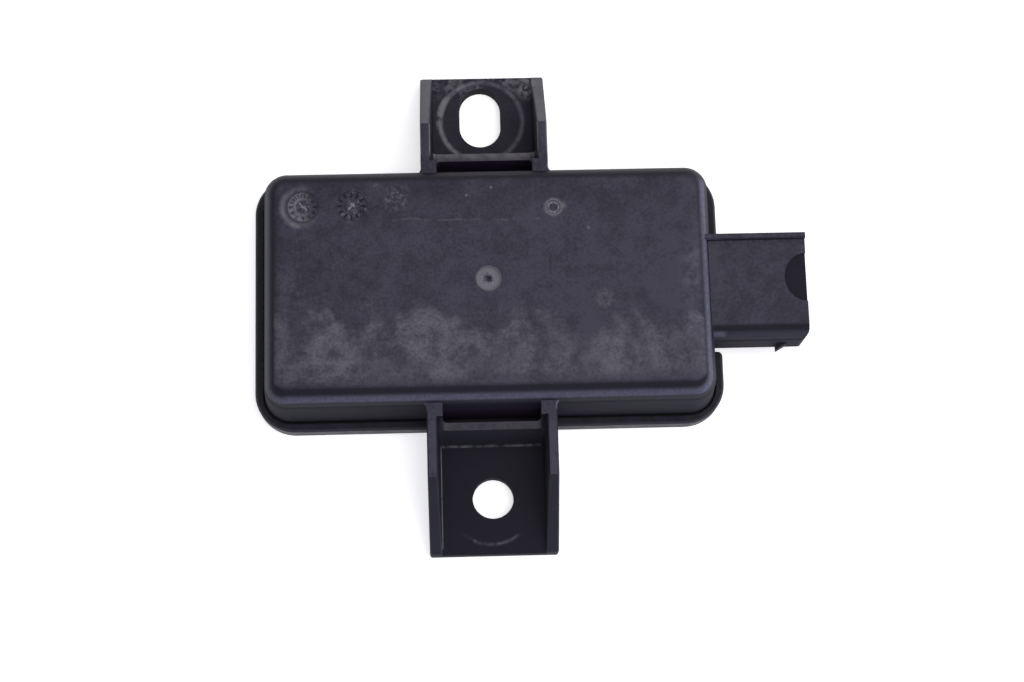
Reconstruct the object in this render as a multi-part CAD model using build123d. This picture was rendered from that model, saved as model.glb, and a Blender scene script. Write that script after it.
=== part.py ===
from build123d import *
from math import radians, tan
import os

# Tyre pressure control unit: a moulded can with two fixing tabs and a plug socket, closed from below by
# a rimmed cover, with the circuit board hung inside it.
# Frame: +Z up, origin on the mounting plane under the middle of the can, +X towards the socket,
# +Y towards the slotted tab. Lengths are in millimetres and angles in degrees.

# Can
can_length = 71.6          # outside of the wall's foot, along X
can_width = 39.0           # outside of the wall's foot, along Y
can_corner = 4.2           # plan radius of the upright corners
can_wall = 1.8
can_roof = 2.0
can_draft = 4.0            # lean of the walls above the rim
can_edge = 3.1             # rounding round the top face

# Marks moulded into the top face, with places from the middle of the can
mark_depth = 0.15
clock_diameter = 5.0       # date clock
clock_places = ((-28.9, 12.9), (-21.3, 12.9))
gate_diameter = 3.6        # dish round the gate
gate_place = (0.0, 0.7)
ejector_diameter = 2.2
ejector_place = (10.5, 12.1)

# Base cover and the sealant in its groove
cover_floor = 1.6
rim_height = 3.6           # top of the rim above the mounting plane
rim_wall = 1.3
cover_corner = 6.4         # plan radius of the rim's outside
rim_bevel = 0.35           # bevel of the rim's top, outside
cover_chamfer = 0.3        # bevel under the cover
seal_gap = 0.35            # groove between wall and rim
seal_drop = 0.7            # sealant below the rim's top
tongue_wall = 1.0          # upstand inside the wall
tongue_height = 1.0
tongue_gap = 0.2

# Circuit board
under_board = 2.4          # room between the cover's floor and the board
board_thickness = 1.6
board_gap = 0.5            # between the board's edge and the wall
board_corner = 2.0
post_side = 4.2            # square posts above the board and square pads below it
post_inset = 3.6           # post centre from the board's edge
peg_side = 2.0             # square peg from each post into the board
peg_length = 1.4
hole_clearance = 0.1       # round a peg, a pin or an aerial leg in the board

# Fixing tabs
tab_width = 20.3
tab_plate = 2.5
tab_drop = 1.6             # rib tops below the can's top face
rib_top = 1.6              # rib thickness along its top
rib_foot = 2.0             # rib thickness at the plate
pocket_rib = 2.5           # rib thickness beside the pocket over the rim
cross_drop = 2.8           # cross wall's top below the ribs' tops
cross_top = 1.25           # cross wall thickness along its top
cross_foot = 2.5           # cross wall thickness at the plate
saddle_round = 1.8         # rounding where the cross wall's top runs up into a rib
rim_clearance = 0.15       # between the rim's outside and the cross wall
bridge_gap = 0.3           # between the rim's top and the ribs that bridge it
upper_shift = -0.2         # middle of the slotted tab along X
lower_shift = 0.05         # middle of the round-holed tab along X
lower_reach = 41.2         # end of the round-holed tab from the middle of the can
upper_reach = 37.9         # end of the slotted tab
slope_run = 11.0           # length of the ribs' sloping ends
slope_end = 0.3            # rib height above the plate at the tab's end
tab_corner = 0.4           # plan radius of the tab's outer corners
channel_corner = 0.6       # plan radius of the inner corners between the ribs
pocket_corner = 0.6        # plan radius of the pocket's corners
root_round = 0.9           # rounding where a rib meets the can
tab_root = 1.0             # that rounding's start inside the can's wall foot
rib_bevel = 0.2            # bevel along the ribs' tops
bolt_hole = 6.5
lower_hole_y = 32.3        # round hole from the middle of the can
upper_hole_y = 31.0        # slot's middle
slot_length = 10.1
slot_width = 6.75
slot_offset = -0.4         # slot's middle from the tab's middle

# Socket
shroud_reach = 50.2        # mouth from the middle of the can
shroud_width = 16.9
shroud_offset = -1.0       # middle of the socket along Y
shroud_drop = 1.6          # shroud's top below the can's top face
shroud_base = 2.3          # shroud's underside above the mounting plane
shroud_wall = 1.3
shroud_round = 2.5         # rounding of the long top edge on the latch side
shroud_belly = 3.6         # rounding of the lower long edges
mouth_round = 1.4          # plan radius of the mouth's corner on the latch side
socket_depth = 10.5
socket_corner = 2.2
notch_gap = 0.15           # between the shroud's sides and the notch in the cover
notch_round = 0.6          # plan radius where the rim ends at the notch, as a share of the rim's wall
ridge_width = 1.0          # guide ridge along the shroud's top
ridge_height = 0.8
ridge_edge = 0.25          # rounding along the ridge's top
scoop_length = 3.5         # half-oval thumb recess at the mouth, along X
scoop_width = 7.8
scoop_depth = 0.6
scoop_offset = 1.3         # recess's middle from the socket's middle
barb_length = 1.7          # latch barb on the shroud's side
barb_height = 0.95
barb_rise = 2.6            # barb's extent along Z
barb_setback = 3.0         # barb's front from the mouth

# Terminal pins
pin_count = 4
pin_pitch = 3.2
pin_width = 1.2
pin_thickness = 0.7
pin_rise = 1.6             # pin row above the middle of the socket
pin_setback = 4.5          # pin tips behind the mouth
pin_inset = 2.6            # downward leg from the inside of the wall
pin_tail = 1.0             # leg below the board
pin_bend = 0.9             # outer radius of the bend
pin_point = 0.2            # bevel at the tip

# Parts on the board
capacitor_height = 5.4     # the tallest part, which sets the can's height
capacitor_diameter = 6.3
capacitor_base = 6.6
capacitor_foot = 0.8
capacitor_bevel = 0.4
headroom = 1.0             # over the tallest part
chip_standoff = 0.1
chip_bevel = 0.15
lead_width = 0.3
lead_sheet = 0.15          # lead thickness
lead_out = 0.8             # lead's outside from the body
strip_width = 1.6          # aerial's bent strip
strip_sheet = 0.5
strip_span = 30.0          # aerial between its legs
strip_rise = 3.4           # aerial's middle above the board
strip_bend = 1.2
strip_tail = 0.8           # legs below the board
chip_part_length = 2.0
chip_part_width = 1.25
ceramic_height = 0.9
resistor_height = 0.5

# Places on the board, from its middle
processor_place = (-2.0, 3.0)
receiver_place = (-14.0, 3.0)
filter_place = (-19.8, 3.0)
crystal_place = (-10.0, -4.6)
transceiver_place = (8.0, 0.4)
regulator_place = (18.0, 4.6)
capacitor_places = ((10.0, 7.6), (18.0, -5.2))
inductor_place = (10.6, -7.0)
diode_place = (2.4, -7.0)
strip_x = -3.0
strip_inset = 5.0              # aerial from the board's edge
ceramic_row = (-18.0, 9.8)     # first of a row along X
resistor_row = (-22.8, -6.0)   # first of a row along Y
chip_part_pitch = 3.2
ceramic_count = 7
resistor_count = 5

# Heights worked out from the sizes above
board_base = cover_floor + under_board
board_top = board_base + board_thickness
roof_underside = board_top + capacitor_height + headroom
can_top = roof_underside + can_roof
tab_top = can_top - tab_drop
shroud_top = can_top - shroud_drop
seal_top = rim_height - seal_drop
bridge_base = rim_height + bridge_gap
cross_height = tab_top - cross_drop
socket_height = shroud_top - shroud_base - 2 * shroud_wall
socket_middle = (shroud_top + shroud_base) / 2
pin_z = socket_middle + pin_rise

# Outlines worked out from the sizes above
lean = tan(radians(can_draft))
groove_length = can_length + 2 * seal_gap
groove_width = can_width + 2 * seal_gap
groove_corner = can_corner + seal_gap
cover_length = groove_length + 2 * rim_wall
cover_width = groove_width + 2 * rim_wall
cavity_length = can_length - 2 * can_wall
cavity_width = can_width - 2 * can_wall
cavity_corner = can_corner - can_wall
board_margin = (board_top - rim_height) * lean + board_gap
board_length = cavity_length - 2 * board_margin
board_width = cavity_width - 2 * board_margin
bridge_y = cover_width / 2 + rim_clearance
pin_leg_x = cavity_length / 2 - pin_inset
strip_place = (strip_x, strip_inset - board_width / 2)

# How far a cutter runs past what it cuts
past = 1.0


def rounded_prism(length, width, corner, base, top, draft=0):
    """Upright block with a rounded plan, leaning inwards by the draft."""
    outline = RectangleRounded(length, width, corner)
    return Pos(0, 0, base) * extrude(outline, top - base, taper=draft)


def span_box(x0, x1, y0, y1, z0, z1):
    """Block between two corners."""
    return Pos((x0 + x1) / 2, (y0 + y1) / 2, (z0 + z1) / 2) * Box(x1 - x0, y1 - y0, z1 - z0)


def disc(diameter, base, top):
    """Upright round bar between two heights."""
    return Pos(0, 0, base) * extrude(Circle(diameter / 2), top - base)


def square_bar(side, base, top):
    """Upright square bar between two heights."""
    return Pos(0, 0, base) * extrude(Rectangle(side, side), top - base)


def top_edges(shape):
    """Edges round a shape's highest face."""
    return shape.faces().sort_by(Axis.Z)[-1].edges()


def can_outside():
    """Straight skirt in the groove, leaning walls above it and a rounded top edge."""
    skirt = rounded_prism(can_length, can_width, can_corner, cover_floor, rim_height)
    walls = rounded_prism(can_length, can_width, can_corner, rim_height, can_top, can_draft)
    return skirt + fillet(top_edges(walls), can_edge)


def can_cavity():
    """Room inside the can, open below."""
    skirt = rounded_prism(cavity_length, cavity_width, cavity_corner, cover_floor - past, rim_height)
    room = rounded_prism(cavity_length, cavity_width, cavity_corner, rim_height, roof_underside, can_draft)
    return skirt + room


def tab_side(reach):
    """Side view of a tab: it bridges the rim, drops to the mounting plane and slopes down to its end."""
    root = cavity_width / 2
    points = [
        (root, bridge_base),
        (bridge_y, bridge_base),
        (bridge_y, 0),
        (reach, 0),
        (reach, tab_plate + slope_end),
        (reach - slope_run, tab_top),
        (root, tab_top),
    ]
    return Plane.YZ * make_face(Polyline(*points, close=True))


def channel_half(height):
    """Half of the room between the ribs, which widens upwards."""
    share = (height - tab_plate) / (tab_top - tab_plate)
    return tab_width / 2 - rib_foot + (rib_foot - rib_top) * share


def channel_section(base):
    """Section between the ribs from a height to above their tops."""
    top = tab_top + past
    low = channel_half(base)
    high = channel_half(top)
    return make_face(Polyline((-low, base), (low, base), (high, top), (-high, top), close=True))


def tab_channel(reach):
    """Room between the ribs from the cross wall to the tab's end, with rounded inner corners."""
    front = reach + past
    top = tab_top + past
    lean_back = (cross_foot - cross_top) / (cross_height - tab_plate)
    back = bridge_y + cross_foot
    back_top = back - lean_back * (top - tab_plate)
    along = [(back, tab_plate), (front, tab_plate), (front, top), (back_top, top)]
    room = extrude(Plane.XZ * channel_section(tab_plate), front, both=True)
    room &= extrude(Plane.YZ * make_face(Polyline(*along, close=True)), tab_width, both=True)
    uprights = [edge for edge in room.edges() if edge.bounding_box().size.Z > past]
    return fillet(ShapeList(uprights).sort_by(Axis.Y)[:2], channel_corner)


def cross_saddle():
    """Room over the cross wall, which is lower than the ribs and runs up into them."""
    outline = channel_section(cross_height)
    outline = fillet(outline.vertices().group_by(Axis.Y)[0], saddle_round)
    block = extrude(Plane.XZ * outline, cross_foot + pocket_corner)
    return Pos(0, bridge_y + cross_foot, 0) * block


def tab_pocket():
    """Opening over the rim, between the can's wall and the cross wall."""
    outline = RectangleRounded(tab_width - 2 * pocket_rib, 2 * bridge_y, pocket_corner)
    return Pos(0, 0, bridge_base - past) * extrude(outline, tab_top - bridge_base + 2 * past)


def tab_plan(reach):
    """Plan of a tab: its sides flare out into the can's wall, and its outer corners are eased."""
    root = can_width / 2 - tab_root
    outline = Pos(0, reach / 2) * Rectangle(tab_width, reach)
    outline += Pos(0, root / 2) * Rectangle(tab_width + 4 * root_round, root)
    ends = outline.vertices().group_by(Axis.Y)[-1]
    outline = fillet(ends, tab_corner)
    roots = [vertex for vertex in outline.vertices() if is_plan_root(vertex, root)]
    return fillet(roots, root_round)


def is_plan_root(vertex, root):
    """Inner corner of a tab's plan, where a side meets the can's wall."""
    return abs(vertex.Y - root) < tab_corner and abs(vertex.X) < tab_width / 2 + root_round


def is_rib_top(face):
    """Level or sloping top of a rib, above the plate and apart from the cross wall's top."""
    height = face.center().Z
    return face.normal_at().Z > 0.5 and height > rim_height and abs(height - cross_height) > rib_bevel


def runs_along(edge):
    """Long edge of a rib's top, outside the can's wall."""
    return edge.center().Y > can_width / 2 and edge.bounding_box().size.Y > cross_foot


def tab(reach, hole):
    """Fixing tab towards +Y, with the given hole through its plate."""
    body = extrude(tab_side(reach), tab_width, both=True) & extrude(tab_plan(reach), can_top)
    body -= tab_channel(reach)
    body -= cross_saddle()
    body -= tab_pocket()
    tops = [face for face in body.faces() if is_rib_top(face)]
    body = chamfer([edge for face in tops for edge in face.edges() if runs_along(edge)], rib_bevel)
    return body - Pos(0, 0, -past) * extrude(hole, tab_plate + 2 * past)


def latch_barb():
    """Wedge on the shroud's side: a steep back towards the can and a ramp towards the mouth."""
    front = shroud_reach - barb_setback
    side = -shroud_width / 2
    points = [(front, side), (front - barb_length, side - barb_height), (front - barb_length, side)]
    wedge = extrude(make_face(Polyline(*points, close=True)), barb_rise)
    return Pos(0, 0, socket_middle - barb_rise / 2) * wedge


def shroud_section():
    """Shroud's section across X: full lower corners, and one rounded top corner on the latch side."""
    outline = Rectangle(shroud_width, shroud_top - shroud_base)
    outline = fillet(outline.vertices().group_by(Axis.Y)[0], shroud_belly)
    outline = fillet(outline.vertices().group_by(Axis.Y)[-1].sort_by(Axis.X)[0], shroud_round)
    return Plane.YZ * Pos(0, socket_middle) * outline


def shroud_plan():
    """Shroud's plan from the can's cavity to the mouth, with the mouth's corner rounded on the latch side."""
    start = cavity_length / 2
    outline = Pos((start + shroud_reach) / 2, 0) * Rectangle(shroud_reach - start, shroud_width)
    return fillet(outline.vertices().group_by(Axis.X)[-1].sort_by(Axis.Y)[0], mouth_round)


def shroud_outside():
    """Socket's outside: section and plan meet, and within the groove it joins the can above the rim only."""
    half = shroud_width / 2
    start = cavity_length / 2
    block = extrude(shroud_section(), shroud_reach + past) & extrude(shroud_plan(), can_top)
    block -= span_box(start, groove_length / 2, -half, half, 0, rim_height)
    ridge_top = shroud_top + ridge_height
    ridge = span_box(start, shroud_reach, half - ridge_width, half, socket_middle, ridge_top)
    ridge = fillet(ridge.edges().filter_by(Axis.X).group_by(Axis.Z)[-1], ridge_edge)
    return Pos(0, shroud_offset, 0) * (block + ridge + latch_barb())


def thumb_scoop():
    """Half-oval recess in the shroud's top, open at the mouth."""
    oval = extrude(Ellipse(scoop_length, scoop_width / 2), scoop_depth + past)
    return Pos(shroud_reach, shroud_offset + scoop_offset, shroud_top - scoop_depth) * oval


def socket_room():
    """Inside of the socket, from its floor out past the mouth."""
    width = shroud_width - 2 * shroud_wall
    outline = Plane.YZ * RectangleRounded(width, socket_height, socket_corner)
    start = shroud_reach - socket_depth
    return Pos(start, shroud_offset, socket_middle) * extrude(outline, socket_depth + past)


def post_places():
    """Places of the four posts that carry the board."""
    x = board_length / 2 - post_inset
    y = board_width / 2 - post_inset
    return [Pos(side_x * x, side_y * y, 0) for side_x in (-1, 1) for side_y in (-1, 1)]


def board_post():
    """Post from the roof down onto the board, with the peg that keeps the board in place."""
    post = square_bar(post_side, board_top, roof_underside + can_roof / 2)
    return post + square_bar(peg_side, board_top - peg_length, board_top)


def face_marks():
    """Shallow recesses in the top face: the mould's date clocks, the gate's dish and an ejector mark."""
    low = can_top - mark_depth
    high = can_top + past
    marks = [Pos(*place) * disc(clock_diameter, low, high) for place in clock_places]
    marks.append(Pos(*gate_place) * disc(gate_diameter, low, high))
    marks.append(Pos(*ejector_place) * disc(ejector_diameter, low, high))
    return marks


def housing(pins):
    """The moulding: can, tabs, socket and board posts, with the pins moulded through the socket's floor."""
    slot = Pos(slot_offset, upper_hole_y) * SlotOverall(slot_length, slot_width, rotation=90)
    bolt = Pos(0, lower_hole_y) * Circle(bolt_hole / 2)
    upper_tab = Pos(upper_shift, 0, 0) * tab(upper_reach, slot)
    lower_tab = Pos(lower_shift, 0, 0) * Rot(0, 0, 180) * tab(lower_reach, bolt)
    body = can_outside() + upper_tab + lower_tab
    body += shroud_outside()
    body -= thumb_scoop()
    body -= socket_room()
    body -= can_cavity()
    body += [place * board_post() for place in post_places()]
    return body - face_marks() - pins


def base_cover():
    """Tray with a groove for the can's wall, an upstand inside it, the board's pads and the shroud's notch."""
    tray = rounded_prism(cover_length, cover_width, cover_corner, 0, rim_height)
    tray = chamfer(top_edges(tray), rim_bevel)
    tray = chamfer(tray.faces().sort_by(Axis.Z)[0].edges(), cover_chamfer)
    tray -= rounded_prism(groove_length, groove_width, groove_corner, cover_floor, rim_height + past)
    notch = Box(cover_length - groove_length, shroud_width + 2 * notch_gap, can_top)
    tray -= Pos(cover_length / 2, shroud_offset, 0) * notch
    ends = tray.edges().filter_by(Axis.Z).group_by(Axis.X)[-1]
    tray = fillet(ends, notch_round * rim_wall)
    tongue_length = cavity_length - 2 * tongue_gap
    tongue_width = cavity_width - 2 * tongue_gap
    tongue_corner = cavity_corner - tongue_gap
    tongue_top = cover_floor + tongue_height
    tongue = rounded_prism(tongue_length, tongue_width, tongue_corner, cover_floor, tongue_top)
    inner = (tongue_length - 2 * tongue_wall, tongue_width - 2 * tongue_wall, tongue_corner - tongue_wall)
    tray += tongue - rounded_prism(*inner, cover_floor, tongue_top)
    return tray + [place * square_bar(post_side, cover_floor, board_base) for place in post_places()]


def seal_bead():
    """Sealant that fills the groove's foot between the can's wall and the rim."""
    ring = rounded_prism(groove_length, groove_width, groove_corner, cover_floor, seal_top)
    return ring - rounded_prism(can_length, can_width, can_corner, cover_floor, seal_top)


def pin_y(index):
    """Place of a pin along Y."""
    return shroud_offset + (index - (pin_count - 1) / 2) * pin_pitch


def terminal_pin(index):
    """Blade from inside the socket through its floor, bent down into the board."""
    half = pin_thickness / 2
    tip = shroud_reach - pin_setback
    low = board_base - pin_tail
    side = pin_width / 2
    blade = span_box(pin_leg_x - half, tip, -side, side, pin_z - half, pin_z + half)
    blade = chamfer(blade.faces().sort_by(Axis.X)[-1].edges(), pin_point)
    leg = span_box(pin_leg_x - half, pin_leg_x + half, -side, side, low, pin_z + half)
    pin = blade + leg
    bend = pin.edges().filter_by(Axis.Y).group_by(Axis.X)[0].sort_by(Axis.Z)[-1]
    return Pos(0, pin_y(index), 0) * fillet(bend, pin_bend)


def circuit_board():
    """Board with holes for the pegs, the pins and the aerial's legs."""
    board = rounded_prism(board_length, board_width, board_corner, board_base, board_top)
    for place in post_places():
        board -= place * square_bar(peg_side + 2 * hole_clearance, board_base, board_top)
    for index in range(pin_count):
        slot = Rectangle(pin_thickness + 2 * hole_clearance, pin_width + 2 * hole_clearance)
        board -= Pos(pin_leg_x, pin_y(index), board_base) * extrude(slot, board_thickness)
    for side in (-1, 1):
        slot = Rectangle(strip_sheet + 2 * hole_clearance, strip_width + 2 * hole_clearance)
        leg = Pos(strip_place[0] + side * strip_span / 2, strip_place[1], board_base)
        board -= leg * extrude(slot, board_thickness)
    return board


def on_board(place):
    """Move to a place on the board's upper face."""
    return Pos(place[0], place[1], board_top)


def lead_profile(height):
    """Side view of a lead: out of the body and down to the board."""
    points = [
        (0, height),
        (lead_out, height),
        (lead_out, 0),
        (lead_out - lead_sheet, 0),
        (lead_out - lead_sheet, height - lead_sheet),
        (0, height - lead_sheet),
    ]
    return Plane.XZ * make_face(Polyline(*points, close=True))


def leaded_chip(length, width, height, count, pitch, sides):
    """Moulded chip with a row of bent leads on the given sides, counted in quarter turns from +X."""
    box = Pos(0, 0, chip_standoff) * extrude(Rectangle(length, width), height - chip_standoff)
    chip = chamfer(top_edges(box), chip_bevel)
    lead = extrude(lead_profile(height / 2), lead_width / 2, both=True)
    leads = []
    for turn in sides:
        edge = length / 2 if turn % 2 == 0 else width / 2
        for index in range(count):
            offset = (index - (count - 1) / 2) * pitch
            leads.append(Rot(0, 0, 90 * turn) * Pos(edge, offset, 0) * lead)
    return chip + leads


def microcontroller():
    """Square chip with leads on all four sides."""
    body_side = 7.0
    body_height = 1.4
    lead_count = 8
    lead_pitch = 0.8
    return leaded_chip(body_side, body_side, body_height, lead_count, lead_pitch, range(4))


def radio_receiver():
    """Oblong chip with leads along its two long sides."""
    body_length = 4.4
    body_width = 6.5
    body_height = 1.1
    lead_count = 8
    lead_pitch = 0.65
    return leaded_chip(body_length, body_width, body_height, lead_count, lead_pitch, (0, 2))


def bus_transceiver():
    """Small chip with leads on two sides."""
    body_length = 3.9
    body_width = 4.9
    body_height = 1.5
    lead_count = 4
    lead_pitch = 1.27
    return leaded_chip(body_length, body_width, body_height, lead_count, lead_pitch, (0, 2))


def voltage_regulator():
    """Power package: a moulded body with a wide tab on one side and two leads on the other."""
    body_length = 6.1
    body_width = 6.5
    body_height = 2.3
    tab_length = 1.2
    tab_breadth = 5.3
    tab_sheet = 0.5
    lead_count = 2
    lead_pitch = 4.6
    package = leaded_chip(body_length, body_width, body_height, lead_count, lead_pitch, (0,))
    start = -body_length / 2
    return package + span_box(start - tab_length, 0, -tab_breadth / 2, tab_breadth / 2, 0, tab_sheet)


def quartz_crystal():
    """Flat metal can with cut corners on its base plate."""
    base_length = 7.0
    base_width = 5.0
    base_sheet = 0.4
    can_ledge = 0.3
    can_cut = 0.8
    crystal_height = 1.4
    base = extrude(Rectangle(base_length, base_width), base_sheet)
    shell = extrude(Rectangle(base_length - 2 * can_ledge, base_width - 2 * can_ledge), crystal_height)
    return base + chamfer(shell.edges().filter_by(Axis.Z), can_cut)


def saw_filter():
    """Ceramic tray with a metal lid."""
    tray_side = 3.8
    tray_height = 1.0
    lid_side = 3.2
    lid_height = 0.3
    tray = extrude(Rectangle(tray_side, tray_side), tray_height)
    lid = extrude(Rectangle(lid_side, lid_side), tray_height + lid_height)
    return tray + lid


def electrolytic_capacitor():
    """Round can on a square foot that has two cut corners."""
    cut = 1.2
    foot = extrude(Rectangle(capacitor_base, capacitor_base), capacitor_foot)
    corners = foot.edges().filter_by(Axis.Z).group_by(Axis.X)[-1]
    foot = chamfer(corners, cut)
    shell = disc(capacitor_diameter, 0, capacitor_height)
    return foot + chamfer(top_edges(shell), capacitor_bevel)


def power_inductor():
    """Square ferrite shield with cut corners, and the round end of the drum core above it."""
    shield_side = 6.0
    shield_height = 2.8
    shield_cut = 1.2
    core_diameter = 4.4
    core_rise = 0.2
    shield = extrude(Rectangle(shield_side, shield_side), shield_height)
    shield = chamfer(shield.edges().filter_by(Axis.Z), shield_cut)
    return shield + disc(core_diameter, 0, shield_height + core_rise)


def protection_diode():
    """Block with a flat lead under each end."""
    body_length = 4.4
    body_width = 3.6
    body_height = 2.2
    plate_out = 0.6
    plate_breadth = 2.0
    plate_sheet = 0.3
    box = extrude(Rectangle(body_length, body_width), body_height - chip_standoff)
    block = Pos(0, 0, chip_standoff) * chamfer(top_edges(box), chip_bevel)
    half = body_length / 2 + plate_out
    return block + span_box(-half, half, -plate_breadth / 2, plate_breadth / 2, 0, plate_sheet)


def loop_antenna():
    """Strip aerial: two legs through the board and a long straight span over it."""
    half = strip_span / 2
    low = -board_thickness - strip_tail
    points = [(-half, 0, low), (-half, 0, strip_rise), (half, 0, strip_rise), (half, 0, low)]
    path = FilletPolyline(*points, radius=strip_bend)
    section = Plane(origin=points[0], x_dir=(1, 0, 0), z_dir=(0, 0, 1)) * Rectangle(strip_sheet, strip_width)
    return sweep(section, path=path)


def chip_parts(first, step, count, height):
    """Row of equal two-ended chips, each a solid of its own."""
    parts = []
    for index in range(count):
        block = extrude(Rectangle(chip_part_length, chip_part_width), height)
        block = chamfer(top_edges(block), chip_bevel)
        place = (first[0] + index * step[0], first[1] + index * step[1])
        parts.append(on_board(place) * block)
    return Compound(children=parts)


def assembly():
    """Every node of the unit by name."""
    pins = [terminal_pin(index) for index in range(pin_count)]
    nodes = {
        "housing": housing(pins),
        "base_cover": base_cover(),
        "seal_bead": seal_bead(),
        "circuit_board": circuit_board(),
        "microcontroller": on_board(processor_place) * microcontroller(),
        "radio_receiver": on_board(receiver_place) * radio_receiver(),
        "bus_transceiver": on_board(transceiver_place) * bus_transceiver(),
        "voltage_regulator": on_board(regulator_place) * Rot(0, 0, 90) * voltage_regulator(),
        "quartz_crystal": on_board(crystal_place) * quartz_crystal(),
        "saw_filter": on_board(filter_place) * saw_filter(),
        "power_inductor": on_board(inductor_place) * power_inductor(),
        "protection_diode": on_board(diode_place) * protection_diode(),
        "loop_antenna": on_board(strip_place) * loop_antenna(),
        "ceramic_capacitors": chip_parts(ceramic_row, (chip_part_pitch, 0), ceramic_count, ceramic_height),
        "chip_resistors": chip_parts(resistor_row, (0, chip_part_pitch), resistor_count, resistor_height),
    }
    for index, pin in enumerate(pins):
        nodes[f"terminal_pin_{index + 1}"] = pin
    for index, place in enumerate(capacitor_places):
        nodes[f"electrolytic_capacitor_{index + 1}"] = on_board(place) * electrolytic_capacitor()
    return nodes


os.makedirs("parts", exist_ok=True)
for name, shape in assembly().items():
    export_step(shape, f"parts/{name}.step")
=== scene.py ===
"""Looks of the tyre pressure control unit: finishes, mould marks, stage, light and camera."""
from math import cos, pi, radians, sin

import bmesh
import bpy
import numpy as np
from mathutils import Matrix, Vector


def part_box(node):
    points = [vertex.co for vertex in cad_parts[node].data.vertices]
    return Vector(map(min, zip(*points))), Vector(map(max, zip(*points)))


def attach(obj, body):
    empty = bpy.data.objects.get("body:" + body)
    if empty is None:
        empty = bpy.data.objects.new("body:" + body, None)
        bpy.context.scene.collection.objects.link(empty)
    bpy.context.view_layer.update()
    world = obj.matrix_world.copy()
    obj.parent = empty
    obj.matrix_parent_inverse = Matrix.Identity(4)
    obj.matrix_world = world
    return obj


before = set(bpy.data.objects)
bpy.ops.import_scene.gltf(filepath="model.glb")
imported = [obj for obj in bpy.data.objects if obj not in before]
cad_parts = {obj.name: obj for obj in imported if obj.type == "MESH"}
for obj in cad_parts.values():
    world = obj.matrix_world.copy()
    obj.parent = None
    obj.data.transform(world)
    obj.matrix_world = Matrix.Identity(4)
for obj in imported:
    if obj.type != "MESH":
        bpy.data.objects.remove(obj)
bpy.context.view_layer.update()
mm = 0.001

# Heights and places on the unit, in millimetres, in the frame of the solids
face_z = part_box("housing")[1].z / mm
mark_depth = 0.15
mark_floor = face_z - mark_depth
plate_z = 2.5
month_clock = (-28.9, 12.9)
year_clock = (-21.3, 12.9)
worn_clock = (-14.4, 14.0)
gate_place = (0.0, 0.7)
ejector_place = (10.5, 12.1)
sink_place = (18.1, -2.9)
specks = ((0.75, 15.5), (-3.2, 14.3), (15.9, 8.6))
slot_place = (-0.4, 30.4)
washer_radius = 6.9
pocket_half = 7.9
turn_steps = 48

# Shades, in linear light
plastic_black = (0.0088, 0.0082, 0.0135)
plastic_warm = (0.0102, 0.009, 0.0138)
dust_grey = (0.052, 0.0485, 0.065)
# Pale of the rubbed rounding, which also serves as a painted highlight there
rubbed_highlight_grey = (0.13, 0.127, 0.178)
# Purple that lightens the shaded pockets, a painted light
pocket_light_purple = (0.04, 0.024, 0.052)
# Pale of dried dirt, also used for the painted sheen on the tabs
pale_dirt_and_sheen = (0.17, 0.163, 0.172)
cover_black = (0.0065, 0.006, 0.0085)
# Dust on the cover, also used for a painted highlight on its lower edge
cover_dust_and_highlight = (0.022, 0.0205, 0.026)
pit_black = (0.012, 0.011, 0.014)
chalk_dark = (0.08, 0.077, 0.086)
chalk_pale = (0.2, 0.195, 0.205)
housing_ior = 1.42
cover_ior = 1.48

# Light: the surroundings' level by direction, the lamp, and the floor
overhead_level = 0.27
horizon_level = 0.65
east_gain = 1.3
north_gain = -0.4
sky_tint = (0.92, 0.93, 1.12)
south_tint = (0.78, 0.84, 1.4)
lamp_power = 5.6
lamp_size = 0.7
lamp_place = Vector((0.2, -0.1, 0.8))
floor_half = 3.0
floor_grey = (0.8, 0.8, 0.8, 1.0)
floor_glow = 0.55
floor_mirrored = 0.3

# Camera, fitted to the photograph
camera_lens = 69.75
camera_target = Vector((3.77, -6.29, 0.0))
camera_distance = 322.29
camera_tilt = 12.66
camera_swing = -1.52
camera_roll = -1.57


def place_camera():
    """Camera above the unit, leaning towards its round-holed tab."""
    tilt, swing, roll = radians(camera_tilt), radians(camera_swing), radians(camera_roll)
    back = Vector((sin(swing) * cos(tilt), -sin(tilt), cos(tilt) * cos(swing))).normalized()
    right = Vector((0, 1, 0)).cross(back).normalized()
    up = back.cross(right)
    across = cos(roll) * right + sin(roll) * up
    upright = cos(roll) * up - sin(roll) * right
    matrix = Matrix((across, upright, back)).transposed().to_4x4()
    matrix.translation = (camera_target + camera_distance * back) * mm
    camera = bpy.data.cameras.new("camera")
    camera.lens = camera_lens
    camera.sensor_width = 36.0
    camera.clip_start = 0.01
    holder = bpy.data.objects.new("camera", camera)
    holder.matrix_world = matrix
    bpy.context.scene.collection.objects.link(holder)
    bpy.context.scene.camera = holder


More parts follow.
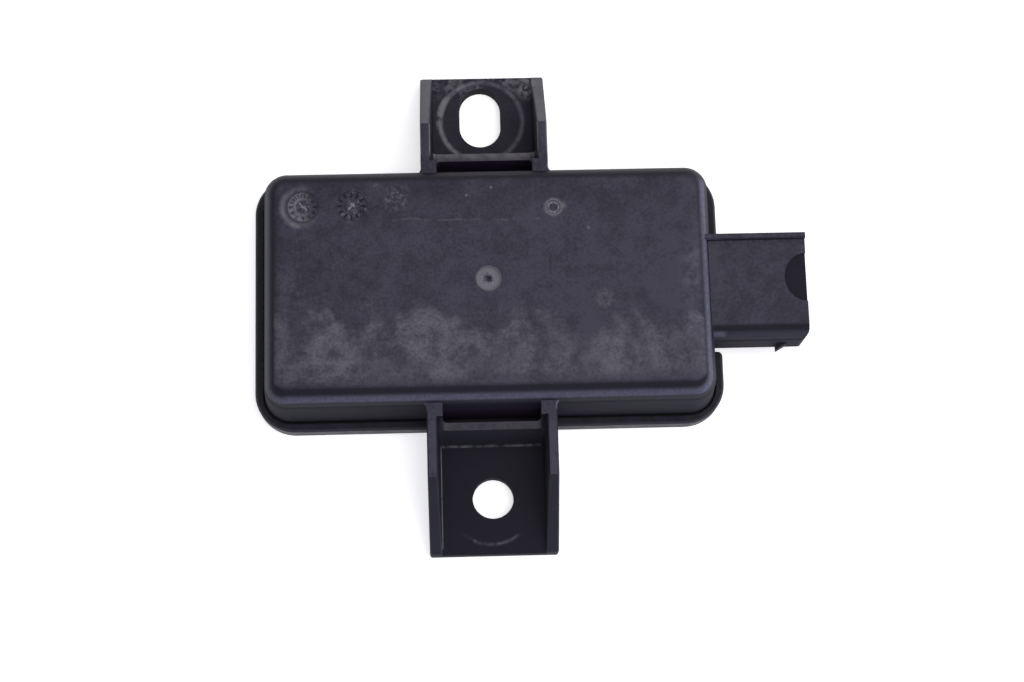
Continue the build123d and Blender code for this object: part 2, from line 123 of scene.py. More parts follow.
class Nodes:
    """A node tree under construction: each method adds one node and returns its output."""

    def __init__(self, tree):
        self.tree = tree
        self.tree.nodes.clear()

    def add(self, kind):
        return self.tree.nodes.new(kind)

    def join(self, source, target):
        """Puts a node's output, or a plain number or colour, into a socket."""
        if isinstance(source, bpy.types.NodeSocket):
            self.tree.links.new(source, target)
        elif isinstance(source, (tuple, list)) and len(source) == 3 and target.type == "RGBA":
            target.default_value = (*source, 1.0)
        else:
            target.default_value = source

    def split(self, vector):
        node = self.add("ShaderNodeSeparateXYZ")
        self.join(vector, node.inputs[0])
        return node.outputs

    def math(self, operation, first, second=0.0, clamp=False):
        node = self.add("ShaderNodeMath")
        node.operation = operation
        node.use_clamp = clamp
        self.join(first, node.inputs[0])
        self.join(second, node.inputs[1])
        return node.outputs[0]

    def plus(self, *terms):
        total = terms[0]
        for term in terms[1:]:
            total = self.math("ADD", total, term)
        return total

    def times(self, *factors):
        product = factors[0]
        for factor in factors[1:]:
            product = self.math("MULTIPLY", product, factor)
        return product

    def most(self, *values):
        top = values[0]
        for value in values[1:]:
            top = self.math("MAXIMUM", top, value)
        return top

    def flip(self, value):
        return self.math("SUBTRACT", 1.0, value, clamp=True)

    def ramp(self, value, start, end, low=0.0, high=1.0):
        """Smooth step from low to high while the value goes from start to end."""
        node = self.add("ShaderNodeMapRange")
        node.interpolation_type = "SMOOTHSTEP"
        self.join(value, node.inputs["Value"])
        node.inputs["From Min"].default_value = start
        node.inputs["From Max"].default_value = end
        node.inputs["To Min"].default_value = low
        node.inputs["To Max"].default_value = high
        return node.outputs["Result"]

    def band(self, value, low, high, soft):
        """One between two values and zero outside them, with soft ends."""
        rise = self.ramp(value, low - soft, low + soft)
        fall = self.ramp(value, high + soft, high - soft)
        return self.times(rise, fall)

    def blend(self, factor, first, second):
        """First colour where the factor is zero and second where it is one."""
        node = self.add("ShaderNodeMix")
        node.data_type = "RGBA"
        factors = [socket for socket in node.inputs if socket.name == "Factor" and socket.enabled]
        colours = [socket for socket in node.inputs if socket.type == "RGBA"]
        self.join(factor, factors[0])
        self.join(first, colours[0])
        self.join(second, colours[1])
        return [socket for socket in node.outputs if socket.type == "RGBA"][0]


class Finish(Nodes):
    """A material under construction. Its coordinates are the solids' own, and lengths are in millimetres."""

    def __init__(self, name):
        self.material = bpy.data.materials.new(name)
        self.material.use_nodes = True
        super().__init__(self.material.node_tree)
        output = self.add("ShaderNodeOutputMaterial")
        self.shader = self.add("ShaderNodeBsdfPrincipled")
        self.join(self.shader.outputs["BSDF"], output.inputs["Surface"])
        where = self.add("ShaderNodeTexCoord").outputs["Object"]
        scaled = self.add("ShaderNodeVectorMath")
        scaled.operation = "SCALE"
        scaled.inputs["Scale"].default_value = 1.0 / mm
        self.join(where, scaled.inputs[0])
        self.place = scaled.outputs[0]
        self.x, self.y, self.z = self.split(self.place)
        self.normal = self.split(self.add("ShaderNodeNewGeometry").outputs["Normal"])

    def set(self, **sockets):
        """Sets the shader's sockets, named with underscores for spaces."""
        for name, source in sockets.items():
            self.join(source, self.shader.inputs[name.replace("_", " ")])

    def noise(self, size, detail=3.0, roughness=0.55, stretch=None, warp=0.0):
        """Cloudy noise whose blotches are about the given size."""
        node = self.add("ShaderNodeTexNoise")
        node.inputs["Scale"].default_value = 1.0 / size
        node.inputs["Detail"].default_value = detail
        node.inputs["Roughness"].default_value = roughness
        node.inputs["Distortion"].default_value = warp
        place = self.place
        if stretch:
            mapping = self.add("ShaderNodeMapping")
            mapping.inputs["Scale"].default_value = stretch
            self.join(place, mapping.inputs["Vector"])
            place = mapping.outputs[0]
        self.join(place, node.inputs["Vector"])
        return node.outputs["Fac"]

    def reach(self, place):
        """Distance from an upright line through a place."""
        across = self.math("SUBTRACT", self.x, place[0])
        along = self.math("SUBTRACT", self.y, place[1])
        return self.math("SQRT", self.plus(self.times(across, across), self.times(along, along)))

    def spot(self, place, radius, soft):
        """One within a round spot, fading to zero over a soft edge."""
        return self.ramp(self.reach(place), radius + soft, radius - soft)

    def ring(self, place, radius, half, soft):
        """One on a ring, fading to zero on both sides."""
        return self.band(self.reach(place), radius - half, radius + half, soft)

    def relief(self, height, depth, normal=None):
        """Bump of the given depth."""
        node = self.add("ShaderNodeBump")
        node.inputs["Strength"].default_value = 1.0
        node.inputs["Distance"].default_value = depth * mm
        self.join(height, node.inputs["Height"])
        if normal is not None:
            self.join(normal, node.inputs["Normal"])
        return node.outputs["Normal"]

    def eased_edges(self, radius):
        """Normal that turns round every edge with the given radius."""
        node = self.add("ShaderNodeBevel")
        node.samples = 6
        node.inputs["Radius"].default_value = radius * mm
        return node.outputs["Normal"]


def face_dust(look, fine, mottle, cloud):
    """Grey dust on surfaces that look up: thick on the can's face and the socket, thin on the tabs. On the
    near side it stops higher up the rounding, a painted shade band, and it is thin in the socket's scoop.
    """
    # Painted shade: the dust stops sooner on the rounding that faces the near side, leaving a darker band.
    towards = look.most(look.times(look.normal[1], -1.0), 0.0)
    up = look.ramp(look.plus(look.normal[2], look.times(towards, -0.55)), 0.87, 0.995)
    # The socket's scoop keeps almost no dust: partly clean plastic, partly painted shade in the recess.
    scoop_bare_and_shaded = look.times(look.ramp(look.x, 46.4, 46.8), look.ramp(look.z, 12.2, 12.0))
    high = look.times(look.ramp(look.z, 11.0, 12.2), look.ramp(scoop_bare_and_shaded, 0.0, 1.0, 1.0, 0.05))
    rib_tops = look.ramp(look.math("ABSOLUTE", look.y), 20.0, 24.0, 1.0, 1.25)
    upper = look.ramp(look.y, 20.0, 24.0, 0.02, 0.4)
    level = look.plus(look.times(high, rib_tops), look.times(look.flip(high), upper))
    patchy = look.times(look.ramp(mottle, 0.3, 0.7, 0.74, 1.28), look.ramp(cloud, 0.3, 0.7, 0.84, 1.18))
    grainy = look.ramp(fine, 0.3, 0.7, 0.7, 1.32)
    label = look.times(look.band(look.x, -16.0, 9.0, 0.3), look.ramp(look.y, 10.1, 10.5))
    fade = look.times(look.ramp(look.y, 4.0, 16.0, 1.05, 0.84), look.ramp(look.x, -34.0, 26.0, 0.94, 1.24))
    cleaner = look.times(look.ramp(label, 0.0, 1.0, 0.72, 0.66), look.ramp(look.x, 35.5, 38.0, 1.0, 0.72))
    return look.times(up, level, patchy, grainy, fade, cleaner)


def face_deposits(look, fine, mottle):
    """Pale dried dirt on the can's face: clouds along the near edge, halos round the mould's marks."""
    on_face = look.times(look.ramp(look.z, 13.6, 13.8), look.ramp(look.normal[2], 0.8, 0.97))
    speckle = look.ramp(fine, 0.25, 0.7, 0.5, 1.2)
    billow = look.noise(5.6, 4.0, 0.58, (1.0, 0.72, 1.0), 0.5)
    ragged = look.plus(look.y, look.ramp(billow, 0.3, 0.7, 3.0, -3.0))
    near = look.times(look.ramp(ragged, -4.5, -8.5), look.ramp(look.y, -16.2, -14.0))
    clouds = look.times(near, look.ramp(billow, 0.3, 0.62, 0.2, 1.0))
    clouds = look.times(clouds, look.ramp(mottle, 0.3, 0.64, 0.25, 1.0), 0.48)
    east = look.times(look.band(look.x, 30.6, 33.0, 1.2), look.band(look.y, -4.0, 5.0, 2.5))
    right_cloud = look.times(east, look.ramp(mottle, 0.36, 0.66), look.ramp(billow, 0.35, 0.6, 0.3, 1.0), 0.6)
    left_cloud = look.times(look.spot((-31.0, -1.0), 1.2, 4.0), look.ramp(mottle, 0.4, 0.7), 0.3)

    halo = look.ring((month_clock[0] - 0.2, month_clock[1] - 0.1), 3.05, 0.3, 0.5)
    leftward = look.ramp(look.x, month_clock[0] + 2.6, month_clock[0] - 0.6)
    halo = look.times(halo, leftward, look.ramp(mottle, 0.3, 0.62, 0.25, 1.0), 0.85)
    dial = look.spot(month_clock, 2.4, 0.15)
    dial = look.times(dial, look.ramp(look.x, month_clock[0] + 1.8, month_clock[0] - 1.0))
    dial = look.times(dial, look.ramp(fine, 0.3, 0.6, 0.5, 1.0), 0.8)
    year = look.times(look.spot(year_clock, 2.6, 0.5), look.ramp(look.noise(0.8, 3.0, 0.7), 0.5, 0.66), 0.55)
    flecks = look.ramp(look.noise(0.7, 3.0, 0.75), 0.45, 0.68)
    worn = look.times(look.spot(worn_clock, 1.9, 1.4), flecks, 0.6)
    stray = look.times(look.spot((-17.2, 16.0), 0.6, 0.5), flecks, 0.6)

    gate = look.times(look.spot(gate_place, 1.95, 0.2), look.ramp(mottle, 0.2, 0.6, 0.7, 1.0), 0.9)
    ejector = look.times(look.ring(ejector_place, 1.15, 0.3, 0.3), look.ramp(fine, 0.3, 0.6, 0.6, 1.0), 0.75)
    smear = look.times(look.spot((11.9, 12.3), 0.5, 0.5), 0.6)
    sink = look.times(look.ring(sink_place, 0.9, 0.4, 0.7), look.ramp(fine, 0.35, 0.65, 0.35, 1.0), 0.4)
    points = look.most(*[look.times(look.spot(place, 0.2, 0.16), 0.6) for place in specks])

    wander = look.math("SUBTRACT", look.y, look.ramp(look.noise(5.0, 3.0), 0.3, 0.7, -0.25, 0.25))
    slant = look.plus(wander, look.times(look.x, 0.02))
    tide = look.times(look.band(slant, 10.15, 10.3, 0.16), look.band(look.x, -15.5, 8.6, 0.8))
    tide = look.times(tide, look.ramp(look.noise(1.6, 3.0, 0.6), 0.4, 0.62), 0.4)
    worn_spots = look.most(halo, dial, year, worn, stray, gate, ejector, smear, sink, points, tide)
    drifts = look.times(look.most(clouds, right_cloud, left_cloud), speckle)
    return look.times(on_face, look.most(worn_spots, drifts))


def tab_deposits(look, mottle):
    """Pale dirt on the tabs: the washer's ring and lines along the feet; a painted sheen on the slotted tab's
    sloping ribs and a faint painted light on the front faces of the round-holed tab's walls.
    """
    upper = look.ramp(look.y, 21.0, 22.5)
    lower = look.ramp(look.y, -21.0, -22.5)
    on_plate = look.ramp(look.z, plate_z + 0.5, plate_z + 0.2)
    on_plate = look.times(on_plate, look.ramp(look.normal[2], 0.6, 0.9))
    patch = look.noise(1.6, 4.0, 0.65)
    washer = look.ring(slot_place, washer_radius - 0.1, 0.3, 0.35)
    west = look.ramp(look.x, 1.0, -6.0, 0.5, 1.0)
    washer = look.times(washer, west, look.ramp(patch, 0.3, 0.55, 0.3, 1.0))
    arc = look.times(look.ring(slot_place, washer_radius, 0.5, 0.3), look.ramp(look.x, -4.5, -6.4))
    arc = look.times(arc, look.ramp(look.y, 28.5, 31.0), look.ramp(look.y, 36.0, 34.0))
    arc = look.times(arc, look.ramp(patch, 0.25, 0.5))
    corner = look.times(look.ramp(look.y, 33.0, 37.5), look.ramp(patch, 0.46, 0.62), 0.5)
    plate = look.times(upper, on_plate, look.most(washer, arc, corner))
    splash = look.times(upper, look.spot((7.4, 36.2), 1.5, 1.3), look.ramp(patch, 0.38, 0.52), 1.15)
    plate = look.most(plate, splash)

    # Painted sheen: the slotted tab's sloping rib tops made paler.
    slope_sheen = look.times(upper, look.band(look.normal[2], 0.6, 0.85, 0.06))
    slope_sheen = look.times(slope_sheen, look.ramp(mottle, 0.25, 0.65, 0.42, 0.66))
    wall_top = look.times(look.band(look.z, 9.3, 10.7, 0.2), look.ramp(look.normal[2], 0.8, 0.95))
    wall_top = look.times(wall_top, look.ramp(patch, 0.3, 0.6, 0.4, 0.8))
    wall_top = look.times(wall_top, look.ramp(upper, 0.0, 1.0, 0.32, 0.75))

    foot = look.times(look.band(look.x, -8.35, -8.0, 0.12), look.ramp(look.z, 4.4, 3.0), lower)
    foot = look.times(foot, look.ramp(look.y, -40.6, -39.5), look.ramp(patch, 0.3, 0.5, 0.3, 0.9))
    heel = look.times(look.band(look.y, -24.1, -23.7, 0.1), look.ramp(look.z, 3.4, 2.8))
    heel = look.times(heel, look.ramp(patch, 0.35, 0.6))
    heel = look.times(heel, look.band(look.x, -pocket_half, pocket_half, 0.1), 0.45)
    # Painted light: a faint paler film on the round-holed tab's wall faces that face the front.
    front_painted_light = look.times(look.band(look.y, -24.6, -21.2, 0.2), look.ramp(look.normal[1], -0.6, -0.9), 0.07)
    crescent = look.times(look.ring((-0.3, -33.0), 6.6, 0.2, 0.25), look.ramp(look.y, -37.6, -39.0), 0.4)
    crescent = look.times(crescent, lower, on_plate, look.ramp(patch, 0.35, 0.6))
    return look.most(plate, slope_sheen, wall_top, foot, heel, front_painted_light, crescent)


def edge_wear(look, fine):
    """Pale band on the rounding of the can's face, partly rubbed wear and partly a painted highlight:
    strongest towards the socket, none on the far side.
    """
    east = look.most(look.normal[0], 0.0)
    west = look.most(look.times(look.normal[0], -1.0), 0.0)
    slant = look.plus(look.normal[2], look.times(west, 0.16))
    rounding = look.times(look.band(slant, 0.62, 0.86, 0.07), look.ramp(look.z, 10.8, 11.6))
    on_can = look.ramp(look.math("ABSOLUTE", look.y), 20.2, 19.6)
    on_can = look.times(on_can, look.ramp(look.x, 36.6, 37.4, 1.0, 0.25))
    side = look.plus(0.8, look.times(east, 0.5), look.times(west, -0.4))
    not_far = look.ramp(look.normal[1], 0.4, 0.1)
    return look.times(rounding, on_can, side, not_far, look.ramp(fine, 0.25, 0.7, 0.65, 1.15))


def pocket_gloom(look):
    """Painted light: a purplish lift of the shaded walls inside the pockets over the rim."""
    depth = look.math("ABSOLUTE", look.y)
    inside = look.times(look.band(depth, 18.6, 21.5, 0.15), look.ramp(look.z, 10.5, 9.0))
    return look.times(inside, look.band(look.x, -pocket_half, pocket_half, 0.2))


def housing_plastic():
    """Satin black glass-filled moulding under grey dust and pale dried dirt, with rubbed edges that carry a
    painted highlight, painted sheen on the slotted tab's slopes, painted light in the pockets and painted
    shade where the dust stops short.
    """
    look = Finish("housing_plastic")
    grain = look.noise(0.16, 2.0, 0.6)
    fine = look.noise(0.5, 3.0, 0.65)
    mottle = look.noise(2.6, 5.0, 0.62)
    cloud = look.noise(9.0, 3.0, 0.55)
    dust = face_dust(look, fine, mottle, cloud)
    # The dirt mask here also holds the tabs' painted sheen and painted light.
    dirt = look.most(face_deposits(look, fine, mottle), tab_deposits(look, mottle))
    wear_and_highlight = edge_wear(look, fine)
    tint = look.blend(look.ramp(cloud, 0.35, 0.65), plastic_black, plastic_warm)
    colour = look.blend(dust, tint, dust_grey)
    # Rubbed rounding with a painted highlight on it
    colour = look.blend(look.times(wear_and_highlight, 0.6), colour, rubbed_highlight_grey)
    # Painted light that brightens the shaded pockets.
    colour = look.blend(look.times(pocket_gloom(look), 0.8), colour, pocket_light_purple)
    # Pale dirt, with the tabs' painted sheen and painted light mixed in.
    colour = look.blend(dirt, colour, pale_dirt_and_sheen)
    matt_walls = look.ramp(look.normal[2], 0.5, 0.25, 0.48, 0.86)
    rough = look.most(look.ramp(dust, 0.0, 1.0, 0.48, 0.7), matt_walls)
    rough = look.math("SUBTRACT", rough, look.times(wear_and_highlight, 0.1))
    rough = look.plus(rough, look.times(dirt, 0.15))
    look.set(Base_Color=colour, Roughness=rough, IOR=housing_ior)
    skin = look.relief(grain, 0.012, look.eased_edges(0.22))
    look.set(Normal=look.relief(look.plus(mottle, look.times(dirt, 0.8)), 0.02, skin))
    return look.material


def cover_plastic():
    """Cleaner satin black of the cover, with dust caught along its rim and a painted highlight along its
    lower edge.
    """
    look = Finish("cover_plastic")
    grain = look.noise(0.16, 2.0, 0.6)
    fine = look.noise(0.5, 3.0, 0.65)
    mottle = look.noise(2.5, 4.0, 0.6)
    top = look.times(look.ramp(look.normal[2], 0.3, 0.9), look.ramp(mottle, 0.3, 0.7, 0.35, 1.0))
    # Painted highlight: the lower edge made paler.
    edge = look.times(look.ramp(look.z, 0.9, 0.2), look.ramp(fine, 0.35, 0.65), 0.35)
    dust_and_lower_highlight = look.most(look.times(top, look.ramp(fine, 0.3, 0.7, 0.6, 1.0)), edge)
    colour = look.blend(dust_and_lower_highlight, cover_black, cover_dust_and_highlight)
    look.set(Base_Color=colour, Roughness=look.ramp(mottle, 0.3, 0.7, 0.44, 0.58), IOR=cover_ior)
    look.set(Normal=look.relief(grain, 0.012, look.eased_edges(0.2)))
    return look.material


def raised_plastic(name, dark, pale, share, pit=None):
    """Moulded marks: black flanks with dirt rubbed over a share of them, and a dark pit if one is given."""
    look = Finish(name)
    fine = look.noise(0.3, 3.0, 0.65)
    colour = look.blend(look.ramp(fine, 0.62 - share, 0.75 - share), dark, pale)
    if pit:
        torn = look.plus(look.reach(pit), look.ramp(fine, 0.3, 0.7, 0.4, -0.4))
        colour = look.blend(look.ramp(torn, 0.75, 0.35), colour, pit_black)
    look.set(Base_Color=colour, Roughness=look.ramp(fine, 0.3, 0.7, 0.45, 0.6), IOR=cover_ior)
    look.set(Normal=look.relief(fine, 0.012))
    return look.material


def plain_finish(name, dark, pale, rough, size, metallic):
    """Finish with cloudy colour between two shades and a fine grain of the given size."""
    look = Finish(name)
    grain = look.noise(size, 4.0, 0.6)
    look.set(Base_Color=look.blend(look.ramp(grain, 0.3, 0.7), dark, pale), Metallic=metallic)
    look.set(Roughness=look.ramp(grain, 0.3, 0.7, rough * 0.85, rough * 1.15))
    look.set(Normal=look.relief(grain, 0.01))
    return look.material


# Finishes of the smaller solids: name, two shades, roughness, size of the grain, metal or not, solids
small_finishes = (
    ("sealant", (0.004, 0.004, 0.005), (0.009, 0.009, 0.01), 0.55, 0.8, 0.0, ["seal_bead"]),
    ("board_laminate", (0.012, 0.07, 0.03), (0.02, 0.12, 0.05), 0.35, 1.5, 0.0, ["circuit_board"]),
    ("pin_metal", (0.5, 0.48, 0.44), (0.72, 0.69, 0.63), 0.32, 0.5, 1.0,
     ["terminal_pin_1", "terminal_pin_2", "terminal_pin_3", "terminal_pin_4"]),
    ("chip_epoxy", (0.01, 0.01, 0.011), (0.02, 0.02, 0.021), 0.6, 0.3, 0.0,
     ["microcontroller", "radio_receiver", "bus_transceiver", "voltage_regulator", "protection_diode"]),
    ("crystal_can", (0.55, 0.55, 0.53), (0.7, 0.7, 0.68), 0.35, 0.6, 1.0, ["quartz_crystal"]),
    ("filter_lid", (0.5, 0.45, 0.33), (0.65, 0.59, 0.45), 0.35, 0.6, 1.0, ["saw_filter"]),
    ("capacitor_can", (0.6, 0.6, 0.61), (0.76, 0.76, 0.77), 0.3, 0.7, 1.0,
     ["electrolytic_capacitor_1", "electrolytic_capacitor_2"]),
    ("ferrite", (0.03, 0.03, 0.033), (0.06, 0.06, 0.065), 0.6, 0.4, 0.0, ["power_inductor"]),
    ("aerial_strip", (0.6, 0.57, 0.5), (0.75, 0.72, 0.66), 0.35, 0.7, 1.0, ["loop_antenna"]),
    ("ceramic_chip", (0.35, 0.24, 0.14), (0.47, 0.34, 0.2), 0.4, 0.4, 0.0, ["ceramic_capacitors"]),
    ("resistor_chip", (0.012, 0.012, 0.014), (0.024, 0.024, 0.026), 0.35, 0.4, 0.0, ["chip_resistors"]),
)


def dress(finish, names):
    """Gives a finish to solids of the frame."""
    for name in names:
        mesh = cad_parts[name].data
        mesh.materials.clear()
        mesh.materials.append(finish)


def dress_solids():
    """Every solid of the frame gets its finish."""
    dress(housing_plastic(), ["housing"])
    dress(cover_plastic(), ["base_cover"])
    for *recipe, solids in small_finishes:
        dress(plain_finish(*recipe), solids)


def grid_faces(rows, columns, round_rows=False, round_columns=False):
    """Quads between neighbours of a grid stored row by row, closed round where asked."""
    row = np.arange(rows if round_rows else rows - 1)
    column = np.arange(columns if round_columns else columns - 1)
    i, j = np.meshgrid(row, column, indexing="ij")
    below, beside = (i + 1) % rows, (j + 1) % columns
    corners = [i * columns + j, i * columns + beside, below * columns + beside, below * columns + j]
    return np.stack(corners, axis=-1).reshape(-1, 4)


def make_piece(name, points, faces, finish):
    """New piece of the housing from points in millimetres, with its poles merged and its faces outwards."""
    mesh = bpy.data.meshes.new(name)
    mesh.from_pydata((np.asarray(points) * mm).tolist(), [], [list(face) for face in faces])
    shell = bmesh.new()
    shell.from_mesh(mesh)
    bmesh.ops.remove_doubles(shell, verts=shell.verts, dist=0.0005 * mm)
    bmesh.ops.recalc_face_normals(shell, faces=shell.faces)
    shell.to_mesh(mesh)
    shell.free()
    mesh.materials.append(finish)
    piece = bpy.data.objects.new(name, mesh)
    bpy.context.scene.collection.objects.link(piece)
    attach(piece, "root")


def turned(profile, place):
    """A profile of radius and height carried round an upright axis: (r cos t, r sin t, z)."""
    radius, height = np.asarray(profile, float).T
    turn = np.linspace(0.0, 2 * pi, turn_steps, endpoint=False)[:, None]
    points = np.stack(np.broadcast_arrays(
        place[0] + radius * np.cos(turn), place[1] + radius * np.sin(turn), height), axis=-1)
    return points.reshape(-1, 3), grid_faces(turn_steps, len(radius), round_rows=True)


def round_button(name, place, radius, top, finish):
    """Low round button: flat top, eased edge, straight side down into the recess's floor."""
    low = mark_floor - 0.02
    ease = 0.04
    profile = [(0, top), (radius - ease, top), (radius, top - ease), (radius, low), (0, low)]
    make_piece(name, *turned(profile, place), finish)


def bead_ring(name, place, radius, half, finish):
    """Half-round bead carried round an upright axis, half sunk in the recess's floor."""
    angle = np.linspace(0.0, 2 * pi, 12, endpoint=False)
    profile = np.stack([radius + half * np.cos(angle), mark_floor + half * np.sin(angle) * 0.6], axis=-1)
    points, _ = turned(profile, place)
    make_piece(name, points, grid_faces(turn_steps, len(angle), True, True), finish)


def pointer(name, place, turn, length, finish):
    """Arrow on a dial: a ridge along its length whose half width swells into the head and ends in a point.

    Across, the section is a low gable that closes below the button it stands on.
    """
    along = np.array([0.0, 0.001, 0.55, 0.56, 0.999, 1.0])[:, None]
    half = np.array([0.0, 0.16, 0.16, 0.42, 0.02, 0.0])[:, None]
    across = np.array([-1.0, -0.35, 0.0, 0.35, 1.0, 0.0])
    rise = np.array([0.0, 0.05, 0.06, 0.05, 0.0, -0.03])
    u = (along - 0.5) * length + 0 * across
    v = half * across
    z = mark_floor + 0.08 + rise + 0 * u
    x = place[0] + u * cos(turn) - v * sin(turn)
    y = place[1] + u * sin(turn) + v * cos(turn)
    points = np.stack([x, y, z], axis=-1)
    make_piece(name, points.reshape(-1, 3), grid_faces(len(along), len(across), round_columns=True), finish)


def numeral_ring(name, place, radius, size, finish):
    """Twelve numerals round a dial: each is turned to its hour with its head outwards and set on the ring."""
    points, faces, count = [], [], 0
    for hour in range(1, 13):
        letters = bpy.data.curves.new("numeral", "FONT")
        letters.body = str(hour)
        letters.size = size
        letters.extrude = 0.05
        letters.resolution_u = 3
        letters.align_x = "CENTER"
        letters.align_y = "CENTER"
        holder = bpy.data.objects.new("numeral", letters)
        bpy.context.scene.collection.objects.link(holder)
        solid = bpy.data.meshes.new_from_object(holder.evaluated_get(bpy.context.evaluated_depsgraph_get()))
        flat = np.empty(3 * len(solid.vertices))
        solid.vertices.foreach_get("co", flat)
        glyph = flat.reshape(-1, 3)
        turn = pi / 2 - hour * pi / 6
        outwards = np.array([cos(turn), sin(turn)])
        sideways = np.array([sin(turn), -cos(turn)])
        ground = np.array(place) + (radius + glyph[:, 1:2]) * outwards + glyph[:, 0:1] * sideways
        points.append(np.column_stack([ground, mark_floor + 0.03 + glyph[:, 2]]))
        faces += [[count + index for index in face.vertices] for face in solid.polygons]
        count += len(glyph)
        bpy.data.objects.remove(holder)
        bpy.data.curves.remove(letters)
        bpy.data.meshes.remove(solid)
    make_piece(name, np.concatenate(points), faces, finish)


def tick_ring(name, place, radius, length, half, count, finish):
    """Short radial bars round a dial: one gabled bar, repeated at equal turns by broadcasting."""
    turn = np.linspace(0.0, 2 * pi, count, endpoint=False)[:, None, None]
    along = np.array([0.0, 0.0, 1.0, 1.0])[None, :, None] * length + radius - length / 2
    swell = np.array([0.0, 1.0, 1.0, 0.0])[None, :, None]
    across = np.array([-1.0, -0.5, 0.5, 1.0, 0.0])[None, None, :] * half * swell
    rise = np.array([-0.02, 0.08, 0.08, -0.02, -0.02])[None, None, :] + mark_floor + 0 * along
    x = place[0] + along * np.cos(turn) - across * np.sin(turn)
    y = place[1] + along * np.sin(turn) + across * np.cos(turn)
    points = np.stack(np.broadcast_arrays(x, y, rise), axis=-1).reshape(-1, 3)
    bar = grid_faces(4, 5, round_columns=True)
    faces = (bar[None] + 20 * np.arange(count)[:, None, None]).reshape(-1, 4)
    make_piece(name, points, faces, finish)


def gate_scar(name, place, finish):
    """Broken-off gate in its dish: z = floor + a rough five-lobed ring that falls to a pit in the middle."""
    radius = np.concatenate([np.linspace(0.0, 1.25, 14), [1.25, 0.0]])
    turn = np.linspace(0.0, 2 * pi, 60, endpoint=False)[:, None]
    lobes = 1.0 + 0.35 * np.sin(5 * turn + 0.4) + 0.2 * np.sin(11 * turn + 1.0)
    ring = 0.1 * np.exp(-(((radius - 0.62) / 0.28) ** 2)) * lobes
    height = mark_floor + 0.01 + ring - 0.02 * radius
    height = np.where(np.arange(len(radius)) >= 14, mark_floor - 0.03, height)
    points = np.stack(np.broadcast_arrays(
        place[0] + radius * np.cos(turn), place[1] + radius * np.sin(turn), height), axis=-1)
    make_piece(name, points.reshape(-1, 3), grid_faces(60, len(radius), round_rows=True), finish)


def mould_marks():
    """What stands in the recesses of the face: two date dials, the gate's scar and the ejector's bead."""
    clean = raised_plastic("clean_marks", (0.008, 0.0075, 0.01), (0.03, 0.028, 0.034), 0.1)
    dusty = raised_plastic("dusty_marks", (0.03, 0.028, 0.036), (0.085, 0.08, 0.09), 0.15)
    chalky = raised_plastic("chalky_marks", chalk_dark, chalk_pale, 0.2)
    numeral_ring("month_numerals", month_clock, 1.85, 0.95, clean)
    round_button("month_button", month_clock, 1.1, mark_floor + 0.08, dusty)
    pointer("month_pointer", month_clock, radians(-42), 1.9, chalky)
    tick_ring("year_ticks", year_clock, 1.85, 0.75, 0.17, 12, clean)
    round_button("year_button", year_clock, 1.0, mark_floor + 0.08, dusty)
    pointer("year_pointer", year_clock, radians(48), 1.7, chalky)
    torn = raised_plastic("torn_gate", chalk_dark, chalk_pale, 0.2, gate_place)
    gate_scar("gate_scar", gate_place, torn)
    bead_ring("ejector_bead", ejector_place, 0.8, 0.14, chalky)


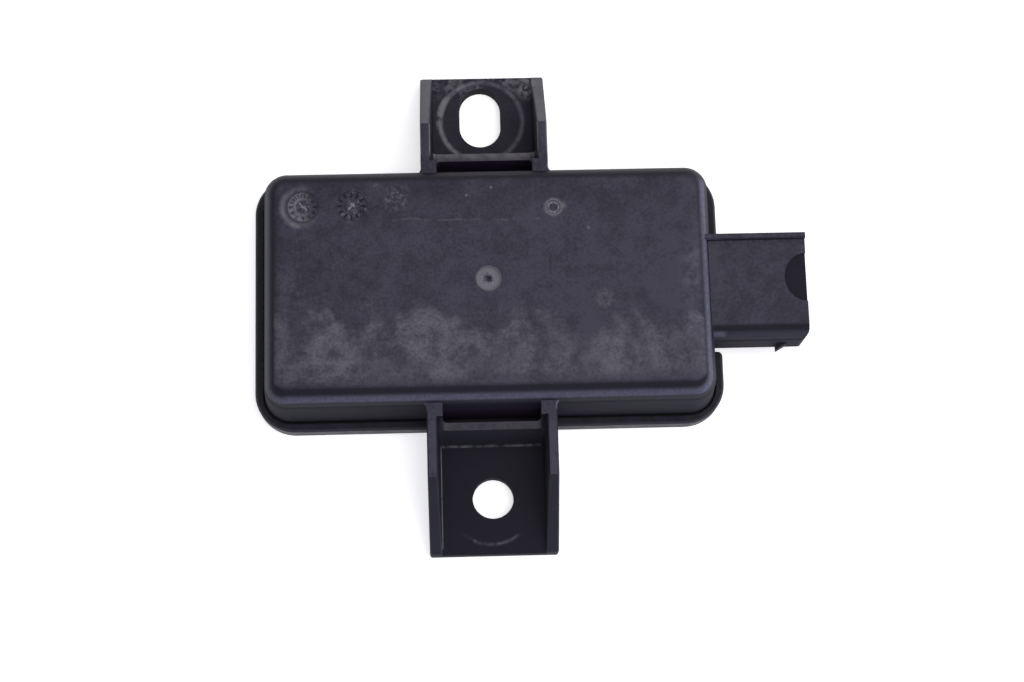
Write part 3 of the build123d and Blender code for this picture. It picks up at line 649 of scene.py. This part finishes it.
def lay_floor():
    """Wide white floor that stays white to the camera and in reflections, and keeps the unit's shadow."""
    half = floor_half
    mesh = bpy.data.meshes.new("floor")
    corners = [(-half, -half, 0), (half, -half, 0), (half, half, 0), (-half, half, 0)]
    mesh.from_pydata(corners, [], [(0, 1, 2, 3)])
    floor = bpy.data.objects.new("floor", mesh)
    bpy.context.scene.collection.objects.link(floor)
    paint = bpy.data.materials.new("floor_white")
    paint.use_nodes = True
    tree = Nodes(paint.node_tree)
    output = tree.add("ShaderNodeOutputMaterial")
    matt = tree.add("ShaderNodeBsdfDiffuse")
    matt.inputs["Color"].default_value = floor_grey
    glow = tree.add("ShaderNodeEmission")
    path = tree.add("ShaderNodeLightPath")
    mirrored = tree.most(path.outputs["Is Glossy Ray"], path.outputs["Is Transmission Ray"])
    seen = tree.times(path.outputs["Is Camera Ray"], floor_glow)
    shine = tree.most(seen, tree.times(mirrored, floor_mirrored))
    tree.join(shine, glow.inputs["Strength"])
    both = tree.add("ShaderNodeAddShader")
    tree.join(matt.outputs[0], both.inputs[0])
    tree.join(glow.outputs[0], both.inputs[1])
    tree.join(both.outputs[0], output.inputs["Surface"])
    mesh.materials.append(paint)


def hang_lights():
    """Studio surroundings, dim overhead and bright round the horizon, and one wide soft lamp overhead."""
    world = bpy.data.worlds.new("studio")
    world.use_nodes = True
    tree = Nodes(world.node_tree)
    output = tree.add("ShaderNodeOutputWorld")
    around = tree.add("ShaderNodeBackground")
    x, y, z = tree.split(tree.add("ShaderNodeTexCoord").outputs["Generated"])
    east = tree.times(tree.most(x, 0.0), east_gain)
    north = tree.times(tree.most(y, 0.0), north_gain)
    horizon = tree.plus(horizon_level, east, north)
    south = tree.ramp(y, 0.0, -0.7)
    low = tree.ramp(z, 0.62, 0.08)
    rise = tree.math("SUBTRACT", horizon, overhead_level)
    level = tree.plus(overhead_level, tree.times(low, rise))
    camera_ray = tree.add("ShaderNodeLightPath").outputs["Is Camera Ray"]
    tint = tree.blend(tree.times(low, south), sky_tint, south_tint)
    tree.join(tree.blend(camera_ray, tint, (1, 1, 1)), around.inputs["Color"])
    strength = tree.plus(camera_ray, tree.times(tree.flip(camera_ray), level))
    tree.join(strength, around.inputs["Strength"])
    tree.join(around.outputs[0], output.inputs["Surface"])
    bpy.context.scene.world = world
    lamp = bpy.data.lights.new("soft_lamp", "AREA")
    lamp.shape = "SQUARE"
    lamp.size = lamp_size
    lamp.energy = lamp_power
    holder = bpy.data.objects.new("soft_lamp", lamp)
    holder.location = lamp_place
    holder.rotation_euler = (-lamp_place).to_track_quat("-Z", "Y").to_euler()
    holder.visible_glossy = False
    bpy.context.scene.collection.objects.link(holder)


bpy.context.scene.view_settings.view_transform = "Standard"
place_camera()
hang_lights()
lay_floor()
dress_solids()
mould_marks()
